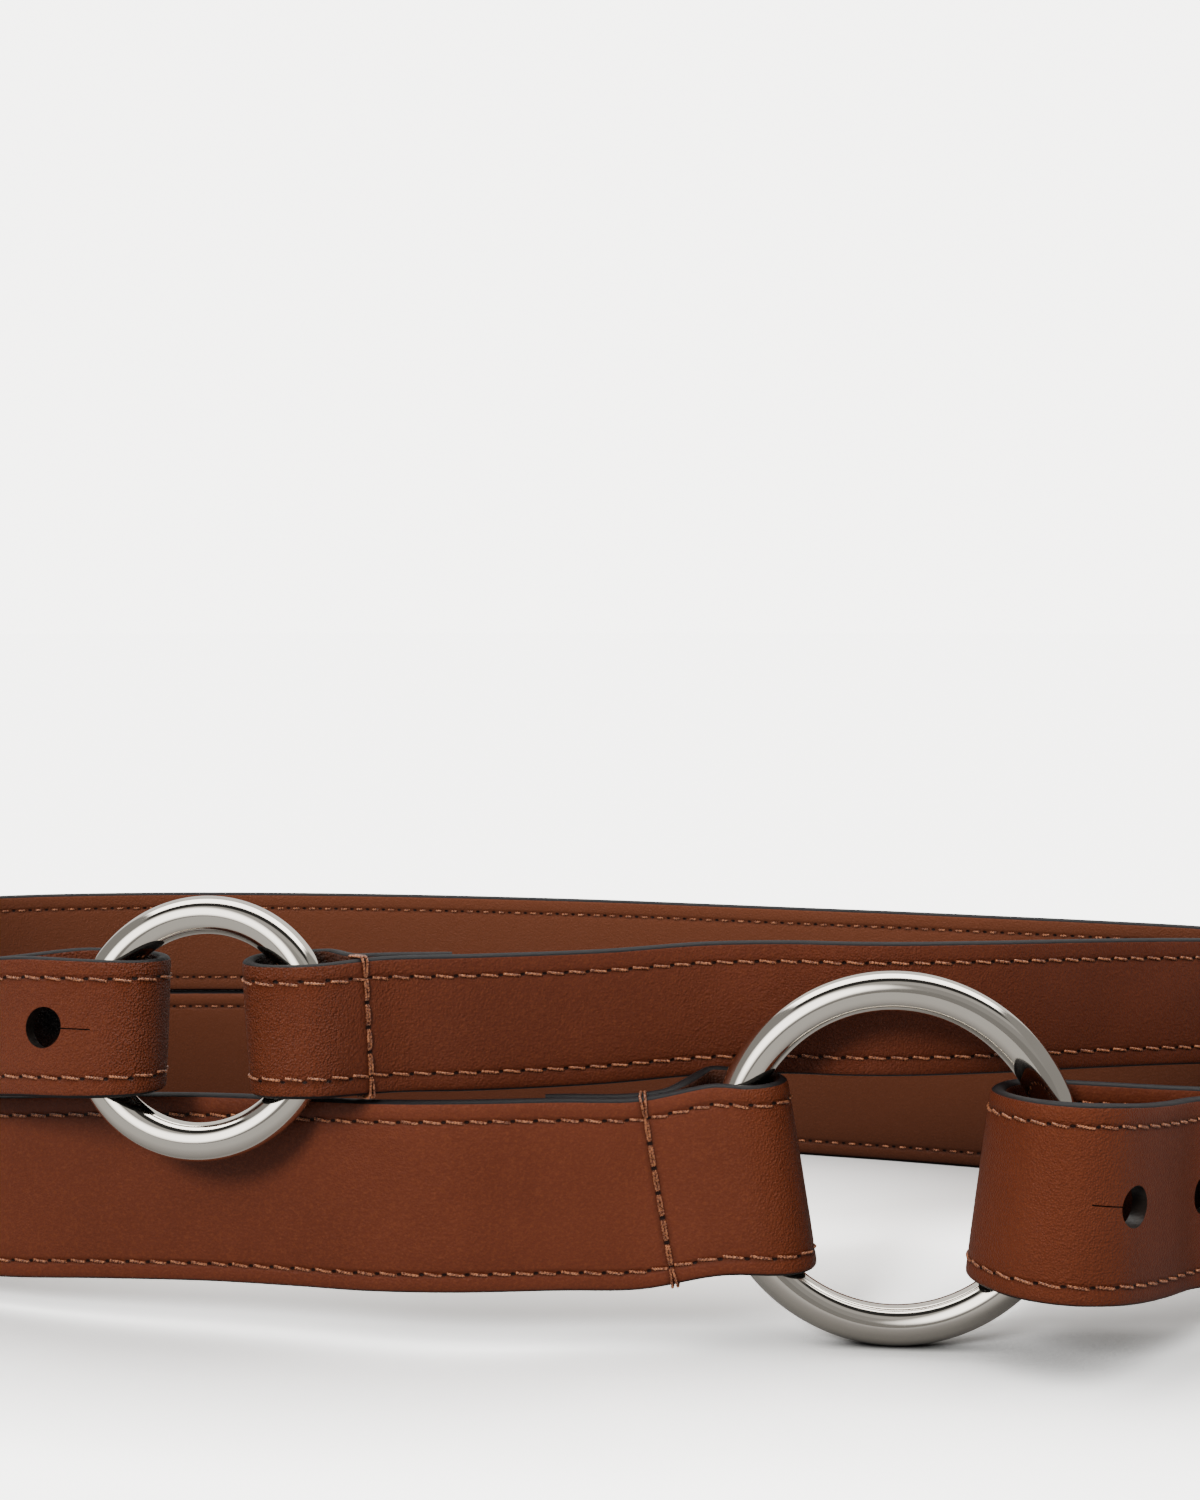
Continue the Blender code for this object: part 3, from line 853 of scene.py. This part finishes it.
def stitches(course, places, face, long, rise, slant, points, sides):
    """Twisted thread stitches on one face of the strap; face is +1 outer or -1 inner."""
    s, a, ds, da = (value[:, None] for value in places)
    u = np.linspace(-0.5, 0.5, points)[None, :]
    reach_s = s + u * long * ds - u * slant * da
    reach_a = a + u * long * da + u * slant * np.abs(ds)
    arch = np.clip(1 - (np.abs(u) / 0.5) ** 4, 0, 1) ** 0.7
    height = course.thick / 2 * 0.93 + rise * (arch * 1.25 - 0.35)
    reach_a = reach_a * course.taper(reach_s)
    swing = ply_size / 2
    groups = []
    for ply in range(plies):
        phase = math.tau * (u * long / ply_turn + ply / plies) * face
        side = np.cos(phase) * swing
        lift = np.sin(phase) * swing
        paths = course.spot(reach_s - side * da, reach_a + side * np.abs(ds), (height + lift) * face)
        groups.append(tube_mesh(paths, swing * ply_overlap, sides))
    return joined(groups)


class Nodes:
    """Short ways to make and join shader nodes."""

    def __init__(self, tree):
        self.tree = tree

    def add(self, kind, **values):
        """A node with some of its settings."""
        node = self.tree.nodes.new(kind)
        for key, value in values.items():
            setattr(node, key, value)
        return node

    def put(self, socket, value):
        """A link or a number into a socket."""
        if isinstance(value, bpy.types.NodeSocket):
            self.tree.links.new(value, socket)
        else:
            socket.default_value = value

    def math(self, operation, a, b=0.0):
        node = self.add("ShaderNodeMath", operation=operation)
        self.put(node.inputs[0], a)
        self.put(node.inputs[1], b)
        return node.outputs[0]

    def plus(self, a, b):
        return self.math("ADD", a, b)

    def minus(self, a, b):
        return self.math("SUBTRACT", a, b)

    def times(self, a, b):
        return self.math("MULTIPLY", a, b)

    def rest(self, value):
        """What is left of 1."""
        return self.minus(1.0, value)

    def scaled(self, vector, share):
        """A colour times a number."""
        node = self.add("ShaderNodeVectorMath", operation="SCALE")
        self.put(node.inputs[0], vector)
        self.put(node.inputs["Scale"], share)
        return node.outputs[0]

    def open_share(self, reach, samples):
        """1 in the open, less where something stands within reach."""
        node = self.add("ShaderNodeAmbientOcclusion", samples=samples)
        node.inputs["Distance"].default_value = reach
        return node.outputs["AO"]

    def noise(self, where, scale, detail=2.0, rough=0.5):
        node = self.add("ShaderNodeTexNoise")
        self.put(node.inputs["Vector"], where)
        node.inputs["Scale"].default_value = scale
        node.inputs["Detail"].default_value = detail
        node.inputs["Roughness"].default_value = rough
        return node.outputs["Fac"]

    def cells(self, where, scale):
        node = self.add("ShaderNodeTexVoronoi")
        self.put(node.inputs["Vector"], where)
        node.inputs["Scale"].default_value = scale
        return node.outputs["Distance"]

    def ramp(self, value, low, high):
        """0 to 1 between two values, eased at both ends."""
        node = self.add("ShaderNodeMapRange", interpolation_type="SMOOTHSTEP")
        self.put(node.inputs["Value"], value)
        node.inputs["From Min"].default_value = low
        node.inputs["From Max"].default_value = high
        return node.outputs["Result"]

    def mix(self, factor, a, b):
        """One colour going over into another."""
        node = self.add("ShaderNodeMix", data_type="RGBA")
        self.put(node.inputs[0], factor)
        self.put(node.inputs[6], a)
        self.put(node.inputs[7], b)
        return node.outputs[2]

    def blend(self, factor, a, b):
        """One number going over into another."""
        node = self.add("ShaderNodeMix", data_type="FLOAT")
        self.put(node.inputs[0], factor)
        self.put(node.inputs[2], a)
        self.put(node.inputs[3], b)
        return node.outputs[0]

    def pair(self, name):
        """The two numbers of one corner layer."""
        split = self.add("ShaderNodeSeparateXYZ")
        layer = self.add("ShaderNodeUVMap", uv_map=name)
        self.tree.links.new(layer.outputs["UV"], split.inputs[0])
        return split.outputs[0], split.outputs[1]

    def bump(self, height, distance, strength, base=None):
        node = self.add("ShaderNodeBump")
        node.inputs["Distance"].default_value = distance
        self.put(node.inputs["Strength"], strength)
        self.put(node.inputs["Height"], height)
        if base is not None:
            self.tree.links.new(base, node.inputs["Normal"])
        return node.outputs["Normal"]


def shader(name):
    """A material, its node helper, its surface shader and the place on the piece."""
    paint = bpy.data.materials.new(name)
    paint.use_nodes = True
    n = Nodes(paint.node_tree)
    where = n.add("ShaderNodeTexCoord").outputs["Object"]
    return paint, n, paint.node_tree.nodes["Principled BSDF"], where


def prick(n, u, v, size_u, size_v):
    """1 inside a small soft-edged oval of half sizes size_u and size_v round u = v = 0, else 0."""
    u = n.math("DIVIDE", u, size_u)
    v = n.math("DIVIDE", v, size_v)
    far = n.math("SQRT", n.plus(n.times(u, u), n.times(v, v)))
    return n.rest(n.ramp(far, 0.55, 1.25))


def nearest(n, value, start, pitch):
    """Signed distance from the nearest mark of a row that starts at start."""
    step = n.math("DIVIDE", n.minus(value, start), pitch)
    part = n.minus(n.math("FRACT", n.plus(step, 0.5)), 0.5)
    return n.times(part, pitch)


def leather_material(name, course, grain, tone):
    """Smooth brown leather: mottling, pebble that opens at bends, painted glints in its flecks, a painted
    highlight at bends, painted shade in the stitch holes, channels, behind the tail's holes and where the
    open share is low, and painted edges.
    """
    paint, n, body, where = shader(name)
    s, a = n.pair("run")
    painted, face = n.pair("edge")
    bend = n.pair("bend")[0]
    half = course.width / 2
    cloud = n.noise(where, 38.0, 3.0, 0.55)
    fleck_glint = n.noise(where, 1500.0, 3.0, 0.65)
    brown = n.mix(n.ramp(cloud, 0.3, 0.7), leather_dark, leather_light)
    # Fine lighter flecks mixed in: partly mottling, partly painted glints
    brown = n.mix(n.times(n.ramp(fleck_glint, 0.42, 0.74), 0.42), brown, leather_fleck_glint)
    # Painted highlight at the bends
    brown = n.mix(n.times(bend, 0.6), brown, leather_bend_highlight)
    brown = n.scaled(brown, tone)
    lining = n.times(n.ramp(face, 0.1, -0.1), n.ramp(s, course.loop, course.loop - 0.004))
    brown = n.mix(lining, brown, lining_colour)

    level = n.minus(n.math("ABSOLUTE", a), half - stitch_inset)
    hole = prick(n, nearest(n, s, stitch_from, stitch_pitch), level, 0.00050, 0.00030)
    seam = n.times(n.minus(half, a), course.seam_slope)
    off = n.plus(n.minus(s, course.front + course.seam), seam)
    count = seam_count(course)
    column = nearest(n, a, half - stitch_inset, (course.width - 2 * stitch_inset) / count)
    needle = n.times(prick(n, off, column, 0.00060, 0.00060), n.ramp(level, 0.0007, 0.0003))
    dent = n.rest(n.ramp(n.math("ABSOLUTE", off), 0.0005, 0.0016))
    row = n.rest(n.ramp(n.math("ABSOLUTE", level), 0.00025, 0.0009))
    brown = n.mix(n.times(n.math("MAXIMUM", row, dent), 0.45), brown, leather_shade)
    hole = n.math("MAXIMUM", hole, needle)
    # Painted shade: the stitch and seam needle holes are dark ovals painted on the leather
    brown = n.mix(n.times(hole, 0.96), brown, hole_shadow)
    # Painted shadow: a dark spot on the band's face behind each free tail hole, where only shade shows
    # through
    for spot_s in course.facing:
        shadow_behind_hole = prick(n, n.minus(s, spot_s), a, hole_size * 0.62, hole_size * 0.62)
        brown = n.mix(n.times(shadow_behind_hole, n.ramp(face, 0.4, 0.8)), brown, hole_shadow)

    ragged = n.plus(painted, n.times(n.minus(n.noise(where, 420.0), 0.5), 0.30))
    mask = n.ramp(ragged, 0.42, 0.60)
    shade = n.math("POWER", n.open_share(shade_reach, 6), n.blend(lining, outer_shade, inner_shade))
    n.put(body.inputs["Base Color"], n.scaled(n.mix(mask, brown, edge_colour), shade))

    pebble = n.cells(where, 2400.0)
    fine = n.noise(where, 7000.0, 2.0, 0.6)
    height = n.plus(n.times(pebble, 0.8), n.times(fine, 0.35))
    strength = n.times(n.plus(0.22, n.times(bend, 0.50)), grain)
    strength = n.times(strength, n.rest(n.times(mask, 0.85)))
    relief = n.bump(height, 0.00034, strength)
    relief = n.bump(n.noise(where, 150.0, 2.0), 0.0004, 0.10, relief)
    pressed = n.plus(hole, n.times(n.math("MAXIMUM", row, dent), 0.35))
    relief = n.bump(n.rest(pressed), 0.0003, 0.75, relief)
    n.put(body.inputs["Normal"], relief)
    rough = n.blend(n.noise(where, 90.0, 3.0), 0.38, 0.50)
    rough = n.minus(rough, n.times(bend, 0.08))
    n.put(body.inputs["Roughness"], n.blend(mask, rough, 0.55))
    body.inputs["Specular IOR Level"].default_value = 0.19
    return paint


def edge_material():
    """Burnished dark edge paint, used inside the holes and slits."""
    paint, n, body, where = shader("edge_paint")
    spot = n.noise(where, 900.0, 3.0)
    n.put(body.inputs["Base Color"], n.mix(spot, burnish_dark, burnish_light))
    n.put(body.inputs["Roughness"], n.blend(spot, 0.25, 0.5))
    body.inputs["Specular IOR Level"].default_value = 0.22
    n.put(body.inputs["Normal"], n.bump(spot, 0.0003, 0.4))
    return paint


def thread_material():
    """Waxed copper-brown thread, with painted glints: fine noise mixes in a bright tan."""
    paint, n, body, where = shader("thread")
    fibre_glint = n.noise(where, 2600.0, 2.0)
    n.put(body.inputs["Base Color"], n.mix(n.ramp(fibre_glint, 0.40, 0.64), thread_dark, thread_glint))
    n.put(body.inputs["Roughness"], n.blend(fibre_glint, 0.22, 0.36))
    n.put(body.inputs["Normal"], n.bump(n.noise(where, 9000.0, 1.0), 0.00008, 0.35))
    body.inputs["Specular IOR Level"].default_value = 0.75
    return paint


def nickel_material():
    """Polished nickel with the faint waviness and hairlines of a buffed casting."""
    paint, n, body, where = shader("polished_nickel")
    cloud = n.noise(where, 120.0, 2.0)
    n.put(body.inputs["Base Color"], n.mix(cloud, nickel_dark, nickel_light))
    n.put(body.inputs["Roughness"], n.blend(n.noise(where, 700.0, 4.0, 0.7), 0.045, 0.10))
    n.put(body.inputs["Normal"], n.bump(n.noise(where, 260.0, 1.0), 0.0002, 0.05))
    body.inputs["Metallic"].default_value = 1.0
    return paint


def floor_material():
    """Pale paper, lifted to the backdrop's brightness for the camera and shaded near the belt."""
    paint, n, body, where = shader("paper_floor")
    pale = n.mix(n.noise(where, 30.0, 2.0), floor_dark, floor_light)
    rays = n.add("ShaderNodeLightPath")
    free = n.open_share(floor_reach, 16)
    unseen = n.blend(rays.outputs["Is Glossy Ray"], floor_bounce, n.times(free, floor_mirror))
    seen = n.times(n.math("POWER", free, floor_shade), floor_gain)
    n.put(body.inputs["Base Color"], n.scaled(pale, n.blend(rays.outputs["Is Camera Ray"], unseen, seen)))
    body.inputs["Roughness"].default_value = 1.0
    body.inputs["Specular IOR Level"].default_value = 0.0
    return paint


def studio():
    """Pale floor, a soft sky of panels for the reflections and two broad suns."""
    bpy.ops.mesh.primitive_circle_add(vertices=96, radius=floor_radius, fill_type="NGON")
    floor = bpy.context.object
    floor.name = "floor"
    floor.data.materials.append(floor_material())
    world = bpy.data.worlds.new("studio")
    bpy.context.scene.world = world
    world.use_nodes = True
    n = Nodes(world.node_tree)
    back = world.node_tree.nodes["Background"]
    look = n.add("ShaderNodeTexCoord").outputs["Generated"]
    split = n.add("ShaderNodeSeparateXYZ")
    n.put(split.inputs[0], look)
    x, y, z = split.outputs
    rays = n.add("ShaderNodeLightPath")
    soft = n.plus(ambient_light, n.times(n.ramp(z, 0.45, 0.75), top_light))
    over = n.math("ARCTAN2", z, n.times(y, -1.0))
    panels = wall_shine
    for start, stop, shine in panel_table:
        begun = n.ramp(over, math.radians(start), math.radians(start + panel_blend))
        ended = n.ramp(over, math.radians(stop - panel_blend), math.radians(stop))
        panels = n.blend(n.times(begun, n.rest(ended)), panels, shine)
    for side, (start, stop, shine) in ((n.times(x, -1.0), left_flank), (x, right_flank)):
        panels = n.blend(n.ramp(side, start, stop), panels, shine)
    toward = n.add("ShaderNodeVectorMath", operation="DOT_PRODUCT")
    n.put(toward.inputs[0], look)
    toward.inputs[1].default_value = soft_box
    panels = n.blend(n.ramp(toward.outputs["Value"], *soft_box_edge), panels, soft_box_shine)
    light = n.blend(rays.outputs["Is Glossy Ray"], soft, panels)
    n.put(back.inputs["Strength"], n.blend(rays.outputs["Is Camera Ray"], light, backdrop_light))
    back.inputs["Color"].default_value = backdrop_colour
    for name, power, size, turn in lamps:
        data = bpy.data.lights.new(name, "SUN")
        data.energy = power
        data.angle = math.radians(size)
        lamp = linked(name, data)
        lamp.rotation_euler = [math.radians(v) for v in turn]
        lamp.visible_glossy = False


def camera(shift):
    """The photo's view: a little above the belt, tipped slightly down."""
    eye = bpy.data.cameras.new("camera")
    eye.lens = sensor_height * camera_focal / picture_height
    eye.sensor_width = sensor_height
    item = linked("camera", eye)
    item.location = (shift.x, shift.y - camera_back, camera_rise)
    item.rotation_euler = (math.radians(90.0 - camera_dip), 0.0, 0.0)
    bpy.context.scene.camera = item


def ring_piece(name, ring, paint):
    """A polished round ring, leaning back and turned as in the part."""
    bpy.ops.mesh.primitive_torus_add(
        major_radius=ring.radius - ring.tube / 2,
        minor_radius=ring.tube / 2,
        major_segments=ring_segments[0],
        minor_segments=ring_segments[1],
    )
    item = bpy.context.object
    item.name = name
    stand = Matrix.Rotation(math.pi / 2 - ring.lean, 4, "X")
    turn = Matrix.Rotation(-ring.turn, 4, "Z")
    item.data.transform(Matrix.Translation((ring.x, ring.y, ring.z)) @ turn @ stand)
    item.data.update()
    item.data.materials.append(paint)
    item.data.shade_smooth()
    return item


def stud_piece(name, course, paint):
    """Base plate, post and ball head, turned from one profile."""
    s = course.hole(stud_hole - 1)
    out = -course.read("out", s)
    pitch = course.thick + layer_gap
    inside = -(pitch + course.thick / 2 + touch_gap)
    outside = course.thick / 2 + touch_gap
    head, neck, base = stud_head / 2, stud_neck / 2, stud_base / 2
    centre = outside + head * 0.80
    start = math.acos(neck / head)
    profile = [(0.0, inside - stud_flange), (base * 0.7, inside - stud_flange)]
    rim = stud_flange / 2
    for k in range(9):
        turn = -math.pi / 2 + math.pi * k / 8
        profile.append((base - rim + math.cos(turn) * rim, inside - rim + math.sin(turn) * rim))
    profile += [(neck, inside), (neck, centre - math.sin(start) * head)]
    for k in range(1, 24):
        turn = -start + (math.pi / 2 + start) * k / 24
        profile.append((math.cos(turn) * head, centre + math.sin(turn) * head))
    profile.append((0.0, centre + head))
    mesh = bmesh.new()
    line = [mesh.verts.new((r, 0.0, z)) for r, z in profile]
    for a, b in zip(line, line[1:]):
        mesh.edges.new((a, b))
    parts = mesh.verts[:] + mesh.edges[:]
    bmesh.ops.spin(mesh, geom=parts, axis=(0, 0, 1), cent=(0, 0, 0), steps=stud_steps, angle=math.tau)
    bmesh.ops.remove_doubles(mesh, verts=mesh.verts, dist=1e-6)
    bmesh.ops.recalc_face_normals(mesh, faces=mesh.faces)
    data = bpy.data.meshes.new(name)
    mesh.to_mesh(data)
    mesh.free()
    turned(data, course.spot(s, 0, 0), course.read("along", s), out)
    data.materials.append(paint)
    item = linked(name, data)
    smooth_faces(data)
    return item


def thread_rows(name, course, paint):
    """Every stitch row of one strap: long stitches on the show face, small ones on the other."""
    slant = -course.side * stitch_slant
    turn = course.loop + turn_clear
    last = course.length - tip_length
    last = stitch_from + int((last - stitch_from) / stitch_pitch) * stitch_pitch

    def long_row(places, face, lean):
        return stitches(course, places, face, stitch_long, stitch_rise, lean, **show_detail)

    def small_row(places, face):
        return stitches(course, places, face, small_long, small_rise, 0.0, **small_detail)

    for label, level in (("low", -1), ("high", 1)):
        band = straight_row(course, stitch_from, turn, level)
        tail = straight_row(course, turn, last + 1e-6, level)
        rows = [long_row(band, 1, slant), long_row(tail, -1, -slant)]
        stitched(name + "_stitches_" + label, rows, paint)
        rows = [small_row(band, -1), small_row(tail, 1)]
        stitched(name + "_back_stitches_" + label, rows, paint)
    tip = tip_row(course, last)
    stitched(name + "_stitches_tip", [long_row(tip, -1, 0.0), small_row(tip, 1)], paint)
    strands = []
    for strand in seam_threads(course):
        strands += rope(course, strand)
    stitched(name + "_seam_thread", strands, paint)


def seam_count(course):
    """Stitches between the two stitch rows down a seam."""
    return max(3, round((course.width - 2 * stitch_inset) / seam_pitch))


def seam_at(course, height):
    """Distance along the strap of the slanted seam at a height across it."""
    return course.front + course.seam - (course.width / 2 - height) * course.seam_slope


def seam_threads(course):
    """Double thread down a sewn loop's seam and over both edges, through both layers."""
    half = course.width / 2
    show = course.thick / 2
    rear = -(show + layer_gap + course.thick)
    marks = np.linspace(-half + stitch_inset, half - stitch_inset, seam_count(course) + 1)
    strands = []
    for low, high in zip(marks, marks[1:]):
        for beside_it in (-1, 1):
            u = np.linspace(0.06, 0.94, 17)
            arch = np.clip(1 - (np.abs(u - 0.5) / 0.44) ** 4, 0, 1) ** 0.7
            height = low + (high - low) * u
            spread = beside_it * seam_spread * (0.35 + 0.65 * arch)
            strands.append((seam_at(course, height) + spread, height, show + seam_rise * arch - seam_sink))
    for level in (-1, 1):
        hole = level * (half - stitch_inset)
        rim = level * (half + 0.00018)
        stops = [
            # share of spread, height, proud
            (0.2, hole, show - 0.0004),
            (0.5, hole + level * 0.0004, show + 0.0002),
            (0.9, rim - level * 0.0009, show + 0.00024),
            (1.1, rim, show - 0.0002),
            (1.1, rim + level * 0.00006, 0.0),
            (0.9, rim + level * 0.00006, rear + show),
            (0.8, rim, rear + 0.0003),
            (0.4, rim - level * 0.0010, rear - 0.00022),
            (0.2, hole, rear + 0.0003),
        ]
        for beside_it in (-1, 1):
            table = np.array(stops)
            u = np.linspace(0, len(stops) - 1, 61)
            spread, height, proud = (np.interp(u, np.arange(len(stops)), table[:, k]) for k in range(3))
            soften = np.ones(5) / 5
            height[2:-2] = np.convolve(height, soften, mode="valid")
            proud[2:-2] = np.convolve(proud, soften, mode="valid")
            strands.append((seam_at(course, height) + beside_it * spread * seam_spread * 1.7, height, proud))
    return strands


def rope(course, strand):
    """Twisted plies along one path given as distance along, height and proud."""
    s, a, w = (np.asarray(v, float) for v in strand)
    path = course.spot(s, a, w)
    fine = np.linspace(0, len(path) - 1, 2 * len(path))
    path = np.stack([np.interp(fine, np.arange(len(path)), path[:, k]) for k in range(3)], axis=1)
    run = run_along(path)
    along = unit(np.gradient(path, axis=0))
    first = unit(np.cross(along, course.read("along", s[0])))
    second = np.cross(along, first)
    groups = []
    for ply in range(plies):
        phase = math.tau * (run / ply_turn + ply / plies)
        twisted = path + (first * np.cos(phase)[:, None] + second * np.sin(phase)[:, None]) * seam_ply
        groups.append(tube_mesh(twisted[None, :, :], seam_ply * seam_overlap, seam_sides))
    return groups


def joined(groups):
    """Several meshes' vertices and faces as one."""
    verts, faces, total = [], [], 0
    for v, f in groups:
        verts.append(v)
        faces += [tuple(i + total for i in item) for item in f]
        total += len(v)
    return np.concatenate(verts), faces


def stitched(name, groups, paint):
    """One piece of thread, riding on its strap."""
    verts, faces = joined(groups)
    data = bpy.data.meshes.new(name)
    data.from_pydata(verts.tolist(), [], faces)
    data.materials.append(paint)
    outward(data)
    piece = linked(name, data)
    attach(piece, "root")


def placed(piece, node):
    """The piece rides on the one body and stands in for the node, which is hidden."""
    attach(piece, "root")
    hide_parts(node)


def main():
    wide, narrow, large, small, shift = strap_courses()
    camera(shift)
    studio()
    thread = thread_material()
    edge = edge_material()
    nickel = nickel_material()
    for name, course, skin in (("wide", wide, wide_skin), ("narrow", narrow, narrow_skin)):
        leather = leather_material(name + "_leather", course, *skin)
        placed(strap_piece(name + "_band", course, (leather, edge)), name + "_strap")
        thread_rows(name, course, thread)
        placed(stud_piece(name + "_stud_turned", course, nickel), name + "_stud")
    for name, ring in (("large", large), ("small", small)):
        placed(ring_piece(name + "_o_ring", ring, nickel), name + "_ring")


main()
